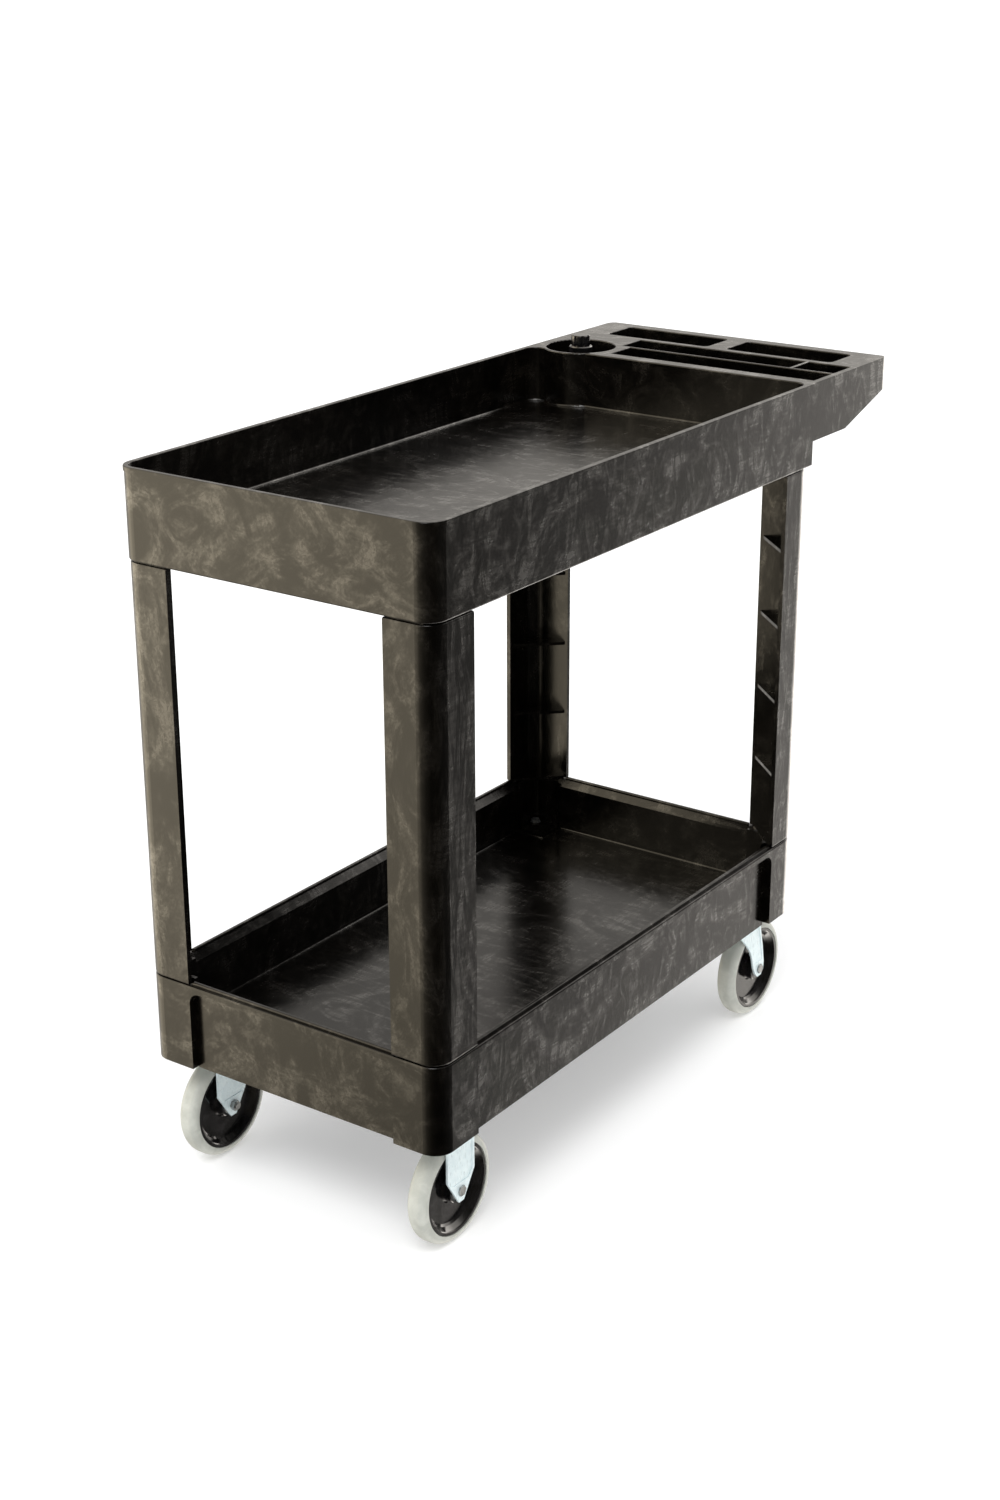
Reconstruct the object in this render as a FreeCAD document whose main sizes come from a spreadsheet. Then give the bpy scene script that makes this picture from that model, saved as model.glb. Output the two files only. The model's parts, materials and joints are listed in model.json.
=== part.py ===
import FreeCAD, Part
import math
import os
import re

import Sketcher

# Two-tray service trolley.  Millimetres, +Z up, +X towards the push handle, origin on the
# floor under the middle of the whole trolley's box.
V = FreeCAD.Vector
doc = FreeCAD.newDocument("ServiceTrolley")

# ---------------------------------------------------------------- driving dimensions
SIZES = [
    # whole trolley
    ("handle_end", 487.5), ("leg_front", -485.4), ("leg_rear", 291.0), ("leg_side", 207.4),
    ("corner_round", 23.0),
    # upper tray
    ("upper_rim", 845.0), ("upper_floor", 775.5), ("skirt_bottom", 742.0), ("tray_proud", 1.0),
    ("tray_wall", 5.6), ("floor_plate", 4.5), ("rib_depth", 12.0), ("rib_plate", 4.0),
    ("lip_proud", 1.0), ("lip_tall", 5.5), ("rim_soft", 1.4), ("ledge_soft", 1.2),
    ("floor_soft", 3.0), ("skirt_soft", 2.0),
    ("inner_round", 16.0), ("end_wall_inner", 283.5),
    # push handle ledge
    ("handle_under", 772.5), ("bevel_start", 376.5), ("bevel_top", 806.6), ("handle_tip_back", 2.0),
    ("trough_floor", 812.0), ("trough_side", 200.0), ("trough_one_start", 302.5),
    ("trough_one_end", 350.5), ("trough_two_start", 354.5), ("trough_two_end", 399.5),
    ("trough_one_stop", 93.0), ("trough_two_stop", 108.0), ("divider_place", 140.0),
    ("divider_plate", 4.0), ("hand_hole_start", 410.0), ("hand_hole_end", 468.5),
    ("hand_hole_side", 167.0), ("bridge_half", 14.0), ("hand_hole_round", 7.0),
    ("grip_round", 13.0), ("gusset_long", 18.0), ("gusset_top", 837.0), ("gusset_tip", 829.0),
    ("gusset_foot", 792.6),
    ("gusset_heel", 3.0), ("hollow_inset", 2.0), ("core_start", 293.0), ("core_end", 298.5),
    ("core_top", 840.0),
    ("holder_along", 321.5), ("holder_across", 151.0), ("holder_bore", 45.0),
    ("holder_wall", 4.5), ("holder_floor", 790.0),
    # holder post
    ("post_base", 15.0), ("post_shoulder", 846.0), ("post_tip", 12.25), ("post_top", 860.0),
    ("post_foot", 18.0), ("post_foot_top", 794.0), ("post_foot_slope", 3.0), ("post_soft", 1.2),
    ("flute_deep", 1.7), ("flute_wide", 3.0), ("post_thread", 20.0), ("post_screw_long", 34.0),
    # lower tray
    ("lower_rim", 251.0), ("lower_floor", 180.5), ("boss_bottom", 145.0),
    ("side_panel_bottom", 141.0), ("end_panel_bottom", 143.5), ("boss_front", 70.5),
    ("boss_rear", 58.0), ("boss_across", 63.0), ("panel_recess", 10.0), ("panel_top", 243.0),
    ("recess_round", 14.0), ("lower_wall", 17.0), ("bead_outer", 4.0), ("bead_inner", 9.0),
    ("bead_tall", 3.5), ("bead_soft", 1.5), ("lower_inner_round", 12.0),
    ("pad_level", 152.0), ("plate_room", 1.5), ("foot_post_bottom", 156.0), ("foot_level", 184.5),
    ("foot_pad_room", 3.0),
    # legs
    ("leg_front_flange", 69.0), ("leg_rear_flange", 58.5), ("leg_across", 63.0),
    ("leg_plate", 5.5), ("leg_seam", 1.6), ("leg_soft", 2.0), ("gusset_plate", 4.0),
    ("gusset_low", 349.0), ("gusset_pitch", 98.3), ("gusset_inset", 5.0), ("gusset_bite", 1.5),
    ("web_corner", 11.0), ("web_edge", 3.0), ("plug_gap", 0.5), ("plug_plate", 4.5),
    ("plug_long", 40.0), ("plug_tall", 15.0), ("plug_bite", 12.0), ("foot_gap", 0.3),
    ("foot_long", 40.0), ("screw_inset_along", 31.5), ("screw_inset_across", 29.2),
    # leg screws
    ("leg_screw_shank", 2.6), ("leg_screw_head", 6.0), ("leg_screw_head_tall", 4.0),
    ("leg_screw_long", 22.0), ("screw_post", 7.5),
    # casters
    ("wheel_radius", 65.0), ("wheel_half", 12.8), ("shoulder_round", 9.3), ("tyre_inner", 54.5),
    ("rim_inner", 45.5), ("rim_half", 12.0), ("rim_slope", 4.0), ("rim_fillet", 2.5),
    ("hub_fillet", 2.0), ("web_half", 3.0), ("hub_radius", 16.0),
    ("hub_half", 13.2), ("bush_radius", 9.0), ("bush_flange", 12.0), ("bush_flange_plate", 1.0),
    ("bush_long", 11.0), ("sleeve_radius", 6.0), ("running_gap", 0.05), ("axle_radius", 4.0),
    ("fork_inner", 14.7), ("fork_plate", 2.5), ("caster_side", 166.5), ("front_axle", -415.5),
    ("kingpin_along", 219.5), ("trail", 36.0), ("plate_long", 92.0), ("plate_wide", 50.0),
    ("plate_thick", 3.0), ("plate_round", 6.0), ("hole_along", 33.0), ("hole_across", 18.0),
    ("plate_screw_shank", 3.0), ("plate_screw_head", 5.5), ("plate_screw_head_tall", 4.0),
    ("plate_screw_long", 18.0), ("fork_half_wide", 25.0), ("fork_taper_start", 84.0),
    ("fork_tip", 51.5), ("fork_tip_half", 4.5), ("fork_border", 4.0), ("fork_press", 0.7),
    ("press_top", 140.0), ("press_bottom", 76.0), ("press_tip_half", 14.0),
    ("crown_radius", 23.0), ("crown_bottom", 133.0), ("crown_top", 136.0), ("crown_back", 20.0),
    ("crown_reach", 34.0), ("race_top", 139.6), ("race_inner", 10.5), ("race_outer", 20.0),
    ("ball_circle", 15.2), ("ball_radius", 3.0), ("ball_level", 140.6), ("ball_gap", 0.3),
    ("plate_race_bottom", 141.6), ("kingpin_radius", 6.0), ("kingpin_head", 9.0),
    ("kingpin_head_tall", 3.0), ("kingpin_foot", 9.0), ("kingpin_bottom", 127.5),
    ("kingpin_foot_top", 129.7), ("lower_race_bottom", 130.0), ("lower_race_radius", 12.0),
    ("dust_ring_inner", 20.5), ("dust_ring_plate", 2.0), ("dust_ring_top", 146.0),
    ("nut_tall", 5.5), ("bolt_head_tall", 2.2), ("hex_radius", 6.5), ("bolt_spare", 2.0),
    # how far a cutting or joining shape runs past the face that it meets
    ("over", 5.0), ("past", 1.0),
]
ALIASES = {alias for alias, value in SIZES}

sheet = doc.addObject("Spreadsheet::Sheet", "Sizes")
for row, (alias, value) in enumerate(SIZES, 1):
    sheet.set("A%d" % row, alias)
    sheet.set("B%d" % row, str(value))
    sheet.setAlias("B%d" % row, alias)
doc.recompute()


def bound(formula):
    """The formula with each alias pointing at the sheet."""
    return re.sub(r"[a-z]\w+", lambda m: "Sizes." + m[0] if m[0] in ALIASES else m[0], str(formula))


def value_of(formula):
    """The number that a formula gives now."""
    return float(sheet.evalExpression(bound(formula)))


def times(sign, formula):
    """The formula, turned to the other side when sign is -1."""
    return "(%s) * %d" % (formula, sign)


# ---------------------------------------------------------------- modelling helpers
nodes = []


def new_body(name):
    body = doc.addObject("PartDesign::Body", name)
    body.Label = name
    nodes.append(body)
    return body


def place(thing, along="0", across="0", up="0"):
    """Bind where an object stands."""
    for letter, formula in (("x", along), ("y", across), ("z", up)):
        thing.setExpression("Placement.Base." + letter, bound(formula))


def sketch_on(body, name, role, level):
    """An empty sketch on one of the body's own planes, moved along its normal to level."""
    plane = [feature for feature in body.Origin.OriginFeatures if feature.Role == role][0]
    sketch = body.newObject("Sketcher::SketchObject", name)
    sketch.AttachmentSupport = [(plane, "")]
    sketch.MapMode = "FlatFace"
    sketch.setExpression(".AttachmentOffset.Base.z", bound(level))
    return sketch


def pin_point(sketch, geometry, point, across, up):
    """Hold one point of a sketch at two distances from the sketch's origin."""
    for kind, formula in (("DistanceX", across), ("DistanceY", up)):
        number = sketch.addConstraint(
            Sketcher.Constraint(kind, -1, 1, geometry, point, value_of(formula)))
        sketch.setExpression("Constraints[%d]" % number, bound(formula))


def corner_stops(corners, index):
    """Where a rounded square corner begins, ends and is centred, as pairs of formulas."""
    across, up, radius = corners[index]
    here = V(value_of(across), value_of(up), 0)
    ways = []
    for other in (corners[index - 1], corners[(index + 1) % len(corners)]):
        way = V(value_of(other[0]), value_of(other[1]), 0) - here
        ways.append(way.normalize())
    ways.append(ways[0] + ways[1])
    return [("%s + (%s) * %d" % (across, radius, round(way.x)),
             "%s + (%s) * %d" % (up, radius, round(way.y))) for way in ways]


def add_outline(sketch, corners):
    """A closed outline.  A corner is (across, up), or (across, up, radius) if it is square."""
    stops = []
    for index, corner in enumerate(corners):
        stops.append([corner] * 2 if len(corner) == 2 else corner_stops(corners, index))
    count = len(corners)
    lines = []
    for index in range(count):
        begin = V(value_of(stops[index][1][0]), value_of(stops[index][1][1]), 0)
        following = stops[(index + 1) % count][0]
        end = V(value_of(following[0]), value_of(following[1]), 0)
        lines.append(sketch.addGeometry(Part.LineSegment(begin, end)))
        pin_point(sketch, lines[-1], 1, *stops[index][1])
    for index in range(count):
        before, after = lines[index - 1], lines[index]
        if len(corners[index]) == 2:
            sketch.addConstraint(Sketcher.Constraint("Coincident", before, 2, after, 1))
            continue
        pin_point(sketch, before, 2, *stops[index][0])
        add_corner_arc(sketch, before, after, stops[index][2], corners[index][2])


def add_corner_arc(sketch, before, after, centre, radius):
    """An arc from the end of one line to the start of the next."""
    middle = V(value_of(centre[0]), value_of(centre[1]), 0)
    first = sketch.Geometry[before]
    last = sketch.Geometry[after]
    turn = (first.EndPoint - first.StartPoint).cross(last.EndPoint - last.StartPoint).z
    ends = [(before, 2, first.EndPoint - middle), (after, 1, last.StartPoint - middle)]
    if turn < 0:
        ends.reverse()
    angles = [math.atan2(reach.y, reach.x) for line, point, reach in ends]
    circle = Part.Circle(middle, V(0, 0, 1), value_of(radius))
    arc = sketch.addGeometry(Part.ArcOfCircle(circle, *angles))
    for arc_point, (line, point, reach) in enumerate(ends, 1):
        sketch.addConstraint(Sketcher.Constraint("Coincident", arc, arc_point, line, point))
    number = sketch.addConstraint(Sketcher.Constraint("Radius", arc, value_of(radius)))
    sketch.setExpression("Constraints[%d]" % number, bound(radius))


def add_rectangle(sketch, low_across, high_across, low_up, high_up, *radii):
    """A rectangle; its radii run counter-clockwise from the lowest corner, or one is for all."""
    places = [(low_across, low_up), (high_across, low_up), (high_across, high_up),
              (low_across, high_up)]
    if len(radii) == 1:
        radii = radii * 4
    if radii:
        places = [place + (radius,) if radius else place for place, radius in zip(places, radii)]
    add_outline(sketch, places)


def add_circle(sketch, across, up, radius):
    circle = Part.Circle(V(value_of(across), value_of(up), 0), V(0, 0, 1), value_of(radius))
    number = sketch.addGeometry(circle)
    pin_point(sketch, number, 3, across, up)
    size = sketch.addConstraint(Sketcher.Constraint("Radius", number, value_of(radius)))
    sketch.setExpression("Constraints[%d]" % size, bound(radius))


def pad(body, sketch, depth, symmetric=False, reverse=False):
    feature = body.newObject("PartDesign::Pad", sketch.Name + "_pad")
    feature.Profile = sketch
    feature.setExpression("Length", bound(depth))
    feature.Midplane = symmetric
    feature.Reversed = reverse
    sketch.Visibility = False
    doc.recompute()
    return feature


def pocket(body, sketch, depth, symmetric=False, reverse=False):
    """Cut a sketch out of the body, and insist that it removed material."""
    before = body.Shape.Volume
    feature = body.newObject("PartDesign::Pocket", sketch.Name + "_cut")
    feature.Profile = sketch
    feature.setExpression("Length", bound(depth))
    feature.Midplane = symmetric
    feature.Reversed = reverse
    sketch.Visibility = False
    doc.recompute()
    if not body.Shape.Volume < before - 1e-3:
        raise RuntimeError(sketch.Name + " cuts nothing")
    return feature


def revolve(body, sketch):
    """Turn a sketch once round its own vertical axis."""
    feature = body.newObject("PartDesign::Revolution", sketch.Name + "_turn")
    feature.Profile = sketch
    feature.ReferenceAxis = (sketch, ["V_Axis"])
    feature.Angle = 360
    doc.recompute()
    return feature


def turned(name, role, *outlines):
    """A body of revolution from closed outlines of (radius, height) corners."""
    body = new_body(name)
    sketch = sketch_on(body, name + "_section", role, "0")
    for corners in outlines:
        add_outline(sketch, corners)
    revolve(body, sketch)
    return body


def round_edges(body, radius, wanted):
    """Round the edges whose middle point and direction pass the test."""
    names = []
    for number, edge in enumerate(body.Shape.Edges, 1):
        middle = edge.valueAt((edge.FirstParameter + edge.LastParameter) / 2)
        if wanted(edge, middle):
            names.append("Edge%d" % number)
    if not names:
        raise RuntimeError(body.Label + " has no such edge")
    base = body.Tip
    feature = body.newObject("PartDesign::Fillet", "%s_round_%d" % (body.Label, len(body.Group)))
    feature.Base = (base, names)
    feature.setExpression("Radius", bound(radius))
    doc.recompute()
    return feature


def is_level(edge):
    return edge.BoundBox.ZLength < 1e-6


def is_arc_of(edge, radius):
    return edge.Curve.TypeId == "Part::GeomCircle" and near(edge.Curve.Radius, radius)


def near(number, formula, slack=0.05):
    return abs(number - value_of(formula)) < slack


# ---------------------------------------------------------------- trays
def rib_cells(sketch, along, across, columns, rows):
    """A grid of rectangles that leaves ribs between them."""
    low_along, high_along = along
    low_across, high_across = across
    for column in range(columns):
        for row in range(rows):
            cell = []
            for low, high, index, count in ((low_along, high_along, column, columns),
                                            (low_across, high_across, row, rows)):
                pitch = "((%s) - (%s) + rib_plate) / %d" % (high, low, count)
                start = "(%s) + %d * %s" % (low, index, pitch)
                cell += [start, "%s + %s - rib_plate" % (start, pitch)]
            add_rectangle(sketch, *cell)


def make_upper_tray():
    body = new_body("upper_tray")
    side = "(leg_side + tray_proud)"
    front = "(leg_front - tray_proud)"
    skirt_end = "(leg_rear + tray_proud)"

    plan = sketch_on(body, "upper_plan", "XY_Plane", "skirt_bottom")
    add_rectangle(plan, front, "handle_end", "-" + side, side, "corner_round", "grip_round",
                  "grip_round", "corner_round")
    pad(body, plan, "upper_rim - skirt_bottom")

    # side view of the handle: square under the ledge, then a bevel up to the grip
    profile = sketch_on(body, "handle_profile", "XZ_Plane", "0")
    add_outline(profile, [
        (skirt_end, "skirt_bottom - over"), (skirt_end, "handle_under"),
        ("bevel_start", "handle_under"), ("handle_end - handle_tip_back", "bevel_top"),
        ("handle_end", "upper_rim"), ("handle_end + over", "upper_rim"),
        ("handle_end + over", "skirt_bottom - over")])
    pocket(body, profile, "4 * leg_side", symmetric=True)
    round_edges(body, "skirt_soft", lambda edge, middle: is_level(edge)
                and near(middle.z, "skirt_bottom")
                and (near(abs(middle.y), side) or near(middle.x, front)
                     or is_arc_of(edge, "corner_round")))

    # bead along the rim of the tray, stopping where the ledge begins
    bead = sketch_on(body, "rim_bead", "XY_Plane", "upper_rim - lip_tall")
    lip_round = "corner_round + lip_proud"
    add_rectangle(bead, front + " - lip_proud", "leg_rear", "-%s - lip_proud" % side,
                  side + " + lip_proud", lip_round, None, None, lip_round)
    pad(body, bead, "lip_tall")

    # tray interior
    inside = sketch_on(body, "tray_inside", "XY_Plane", "upper_rim")
    wall = side + " - tray_wall"
    add_rectangle(inside, front + " + tray_wall", "end_wall_inner", "-(%s)" % wall, wall,
                  "inner_round")
    pocket(body, inside, "upper_rim - upper_floor")
    wall_half = value_of(wall)

    # round holder: a boss that bulges into the tray, with its bore
    boss = sketch_on(body, "holder_boss", "XY_Plane", "upper_floor - past")
    add_circle(boss, "holder_along", "holder_across", "holder_bore + holder_wall")
    pad(body, boss, "upper_rim - upper_floor + past")
    tray_end = value_of("leg_rear")
    round_edges(body, "rim_soft", lambda edge, middle: is_level(edge) and edge.Length > 4
                and near(middle.z, "upper_rim") and middle.x < tray_end)
    round_edges(body, "rim_soft", lambda edge, middle: is_level(edge)
                and near(middle.z, "upper_rim") and near(middle.x, "handle_end"))
    bore = sketch_on(body, "holder_bore", "XY_Plane", "upper_rim")
    add_circle(bore, "holder_along", "holder_across", "holder_bore")
    pocket(body, bore, "upper_rim - holder_floor")
    post_hole = sketch_on(body, "post_screw_hole", "XY_Plane", "holder_floor")
    add_circle(post_hole, "holder_along", "holder_across", "leg_screw_shank")
    pocket(body, post_hole, "holder_floor - handle_under + past")

    # tool troughs in the ledge
    trough = sketch_on(body, "troughs", "XY_Plane", "upper_rim")
    add_rectangle(trough, "trough_one_start", "trough_one_end", "-trough_side", "trough_one_stop")
    add_rectangle(trough, "trough_two_start", "trough_two_end", "-trough_side",
                  "-divider_place - divider_plate / 2")
    add_rectangle(trough, "trough_two_start", "trough_two_end",
                  "-divider_place + divider_plate / 2", "trough_two_stop")
    pocket(body, trough, "upper_rim - trough_floor")

    # two hand holes right through, either side of a bridge
    hand = sketch_on(body, "hand_holes", "XY_Plane", "upper_rim + past")
    for sign in (-1, 1):
        ends = sorted((times(sign, "bridge_half"), times(sign, "hand_hole_side")), key=value_of)
        add_rectangle(hand, "hand_hole_start", "hand_hole_end", *ends, "hand_hole_round")
    pocket(body, hand, "upper_rim - handle_under + 2 * past")

    # small gusset at one end of each hand hole
    for name, level in (("hand_gusset", "gusset_long - hand_hole_side"),
                        ("bridge_gusset", "bridge_half + gusset_long")):
        gusset = sketch_on(body, name, "XZ_Plane", level)
        add_outline(gusset, [("hand_hole_start - past", "gusset_foot"),
                             ("hand_hole_start + gusset_heel", "gusset_foot"),
                             ("hand_hole_start + gusset_long", "gusset_tip"),
                             ("hand_hole_start + gusset_long", "gusset_top"),
                             ("hand_hole_start - past", "gusset_top")])
        pad(body, gusset, "rib_plate", reverse=True)

    # underside: hollow inside the skirt, then a grid of shallow ribs under the floor
    under = sketch_on(body, "upper_under", "XY_Plane", "skirt_bottom")
    add_rectangle(under, front + " + tray_wall", skirt_end + " - tray_wall",
                  "-(%s)" % wall, wall, "corner_round - tray_wall")
    pocket(body, under, "upper_floor - floor_plate - rib_depth - skirt_bottom", reverse=True)
    cells = sketch_on(body, "upper_cells", "XY_Plane", "upper_floor - floor_plate - rib_depth")
    rim_rib = "tray_wall + rib_plate"
    rib_cells(cells, ("%s + %s" % (front, rim_rib), "%s - (%s)" % (skirt_end, rim_rib)),
              ("rib_plate - (%s)" % wall, wall + " - rib_plate"), 6, 3)
    pocket(body, cells, "rib_depth", reverse=True)

    # hollows under the troughs and inside the double end wall
    hollow = sketch_on(body, "ledge_hollows", "XY_Plane", "handle_under")
    hollow_side = ("hollow_inset - trough_side", "trough_one_stop - rib_plate")
    rib_cells(hollow, ("trough_one_start + hollow_inset", "bevel_start - hollow_inset"),
              hollow_side, 2, 4)
    pocket(body, hollow, "trough_floor - rib_plate - handle_under", reverse=True)
    core = sketch_on(body, "end_wall_core", "XY_Plane", "handle_under")
    add_rectangle(core, "core_start", "core_end", *hollow_side)
    pocket(body, core, "core_top - handle_under", reverse=True)

    # screw posts over the legs
    posts = sketch_on(body, "upper_posts", "XY_Plane", "skirt_bottom")
    for corner in CORNERS:
        add_circle(posts, *screw_place(corner), "screw_post")
    pad(body, posts, "upper_floor - floor_plate + past - skirt_bottom")
    holes = sketch_on(body, "upper_post_holes", "XY_Plane", "skirt_bottom")
    for corner in CORNERS:
        add_circle(holes, *screw_place(corner), "leg_screw_shank")
    pocket(body, holes, "leg_screw_long", reverse=True)

    # soft moulded edges of the ledge's openings, and the foot of the tray's walls
    first_wall = value_of("trough_one_start") - 0.05
    last_wall = value_of("hand_hole_end") + 0.05
    holder = V(value_of("holder_along"), value_of("holder_across"), 0)
    round_edges(body, "ledge_soft", lambda edge, middle: is_level(edge)
                and near(middle.z, "upper_rim") and abs(middle.y) < wall_half - 0.5
                and (first_wall < middle.x < last_wall
                     or near(V(middle.x, middle.y, 0).distanceToPoint(holder), "holder_bore")))
    round_edges(body, "floor_soft", lambda edge, middle: is_level(edge)
                and near(middle.z, "upper_floor") and abs(middle.y) <= wall_half + 0.05)
    return body


CORNERS = [("front_left", -1, 1), ("front_right", -1, -1), ("rear_left", 1, 1),
           ("rear_right", 1, -1)]


def corner_point(corner, inset_along, inset_across):
    """A point measured inwards from the outer faces of one leg."""
    name, end, side = corner
    if end < 0:
        along = "leg_front + (%s)" % inset_along
    else:
        along = "leg_rear - (%s)" % inset_along
    return along, times(side, "leg_side - (%s)" % inset_across)


def screw_place(corner):
    return corner_point(corner, "screw_inset_along", "screw_inset_across")


def caster_place(corner):
    """Where the middle of a caster's top plate is."""
    name, end, side = corner
    along = "front_axle" if end < 0 else "kingpin_along"
    return along, times(side, "caster_side")


def plate_hole_places(corner):
    """The four screw places of one caster."""
    along, across = caster_place(corner)
    return [("%s + %s" % (along, times(step_along, "hole_along")),
             "%s + %s" % (across, times(step_across, "hole_across")))
            for step_along in (-1, 1) for step_across in (-1, 1)]


def plate_rectangle(sketch, corner, room):
    """The outline of one caster's top plate, made larger all round by room."""
    along, across = caster_place(corner)
    long = "plate_long / 2 + (%s)" % room
    wide = "plate_wide / 2 + (%s)" % room
    add_rectangle(sketch, "%s - (%s)" % (along, long), "%s + (%s)" % (along, long),
                  "%s - (%s)" % (across, wide), "%s + (%s)" % (across, wide))


def boss_square(sketch, corner, past_outer):
    """The footprint of one corner boss, run past the outer faces."""
    long = "boss_front" if corner[1] < 0 else "boss_rear"
    spans = []
    for outer, inner in zip(corner_point(corner, "-(%s)" % past_outer, "-(%s)" % past_outer),
                            corner_point(corner, long, "boss_across")):
        spans += sorted((outer, inner), key=value_of)
    add_rectangle(sketch, *spans)


def make_lower_tray():
    body = new_body("lower_tray")
    plan = sketch_on(body, "lower_plan", "XY_Plane", "side_panel_bottom")
    add_rectangle(plan, "leg_front", "leg_rear", "-leg_side", "leg_side", "corner_round")
    pad(body, plan, "lower_rim - side_panel_bottom")
    half = value_of("leg_side")

    # panels set back between the corner bosses, with rounded upper corners
    sides = (None, None, "recess_round", "recess_round")
    for sign in (-1, 1):
        panel = sketch_on(body, "side_panel_%d" % (sign + 2), "XZ_Plane",
                          times(sign, "leg_side + over"))
        add_rectangle(panel, "leg_front + boss_front", "leg_rear - boss_rear",
                      "side_panel_bottom - over", "panel_top", *sides)
        pocket(body, panel, "panel_recess + over", reverse=sign < 0)
    for sign, face in ((-1, "leg_front - over"), (1, "leg_rear + over")):
        panel = sketch_on(body, "end_panel_%d" % (sign + 2), "YZ_Plane", face)
        add_rectangle(panel, "-leg_side + boss_across", "leg_side - boss_across",
                      "side_panel_bottom - over", "panel_top", *sides)
        pocket(body, panel, "panel_recess + over", reverse=sign < 0)

    # the bosses and the end panels stop a little above the side panels
    low = sketch_on(body, "boss_undersides", "XY_Plane", "side_panel_bottom")
    for corner in CORNERS:
        boss_square(low, corner, "over")
    pocket(body, low, "boss_bottom - side_panel_bottom", reverse=True)
    low = sketch_on(body, "end_undersides", "XY_Plane", "side_panel_bottom")
    for ends in (("leg_front - over", "leg_front + lower_wall + past"),
                 ("leg_rear - lower_wall - past", "leg_rear + over")):
        add_rectangle(low, *ends, "boss_across - leg_side", "leg_side - boss_across")
    pocket(body, low, "end_panel_bottom - side_panel_bottom", reverse=True)

    # tray interior, widening below its rim, and the hollow under it
    box = ("leg_front + lower_wall", "leg_rear - lower_wall", "-leg_side + lower_wall",
           "leg_side - lower_wall")
    inside = sketch_on(body, "lower_inside", "XY_Plane", "lower_rim")
    add_rectangle(inside, *box, "lower_inner_round")
    pocket(body, inside, "lower_rim - lower_floor")
    mouth = sketch_on(body, "lower_mouth", "XY_Plane", "lower_rim")
    slope = "(lower_wall - bead_inner)"
    add_rectangle(mouth, "leg_front + bead_inner", "leg_rear - bead_inner",
                  "-leg_side + bead_inner", "leg_side - bead_inner",
                  "lower_inner_round + " + slope)
    cut = pocket(body, mouth, slope)
    cut.TaperAngle = -45
    doc.recompute()
    under = sketch_on(body, "lower_under", "XY_Plane", "side_panel_bottom - past")
    add_rectangle(under, *box)
    ribs_bottom = "(lower_floor - floor_plate - rib_depth)"
    pocket(body, under, ribs_bottom + " - side_panel_bottom + past", reverse=True)
    cells = sketch_on(body, "lower_cells", "XY_Plane", ribs_bottom)
    rib_cells(cells, box[:2], box[2:], 6, 3)
    pocket(body, cells, "rib_depth", reverse=True)

    # bead on the rim between the legs
    bead = sketch_on(body, "lower_bead", "XY_Plane", "lower_rim")
    for sign in (-1, 1):
        ends = sorted((times(sign, "leg_side - bead_outer"), times(sign, "leg_side - bead_inner")),
                      key=value_of)
        add_rectangle(bead, "leg_front + leg_front_flange + past",
                      "leg_rear - leg_rear_flange - past", *ends)
    for low, high in (("leg_front + bead_outer", "leg_front + bead_inner"),
                      ("leg_rear - bead_inner", "leg_rear - bead_outer")):
        add_rectangle(bead, low, high, "-leg_side + leg_across + past",
                      "leg_side - leg_across - past")
    pad(body, bead, "bead_tall")

    # caster pads: a frame and four screw posts reaching down to the plate's level
    to_floor = "lower_floor - floor_plate + past"
    frames = sketch_on(body, "pad_frames", "XY_Plane", "pad_level")
    for corner in CORNERS:
        for inset in ("0", "rib_plate"):
            plate_rectangle(frames, corner, "-" + inset)
    pad(body, frames, to_floor + " - pad_level")
    posts = sketch_on(body, "pad_posts", "XY_Plane", "pad_level")
    for corner in CORNERS:
        for spot in plate_hole_places(corner):
            add_circle(posts, *spot, "screw_post")
    pad(body, posts, to_floor + " - pad_level")
    posts = sketch_on(body, "foot_posts", "XY_Plane", "foot_post_bottom")
    for corner in CORNERS:
        add_circle(posts, *screw_place(corner), "screw_post")
    pad(body, posts, to_floor + " - foot_post_bottom")
    recesses = sketch_on(body, "plate_recesses", "XY_Plane", "side_panel_bottom - past")
    for corner in CORNERS:
        plate_rectangle(recesses, corner, "plate_room")
    pocket(body, recesses, "pad_level - side_panel_bottom + past", reverse=True)

    # raised pads under the feet of the legs
    pads = sketch_on(body, "foot_pads", "XY_Plane", "lower_floor - past")
    for corner in CORNERS:
        reach = "lower_wall + foot_gap + foot_long + foot_pad_room"
        spans = []
        for outer, inner in zip(corner_point(corner, *["lower_wall - past"] * 2),
                                corner_point(corner, reach, reach)):
            spans += sorted((outer, inner), key=value_of)
        add_rectangle(pads, *spans)
    pad(body, pads, "foot_level - lower_floor + past")

    # holes for the caster screws and the leg screws
    holes = sketch_on(body, "plate_screw_holes", "XY_Plane", "pad_level")
    for corner in CORNERS:
        for spot in plate_hole_places(corner):
            add_circle(holes, *spot, "plate_screw_shank")
    pocket(body, holes, "plate_screw_long - plate_thick", reverse=True)
    holes = sketch_on(body, "foot_screw_holes", "XY_Plane", "foot_level")
    for corner in CORNERS:
        add_circle(holes, *screw_place(corner), "leg_screw_shank")
    pocket(body, holes, "leg_screw_long - gusset_plate")

    # soft moulded edges
    round_edges(body, "bead_soft", lambda edge, middle: is_level(edge)
                and near(middle.z, "lower_rim + bead_tall"))
    round_edges(body, "leg_soft", lambda edge, middle: is_level(edge)
                and near(middle.z, "lower_rim")
                and (near(abs(middle.y), half) or near(middle.x, "leg_front")
                     or near(middle.x, "leg_rear") or is_arc_of(edge, "corner_round")))
    round_edges(body, "floor_soft", lambda edge, middle: is_level(edge)
                and near(middle.z, "lower_floor"))
    return body


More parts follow.
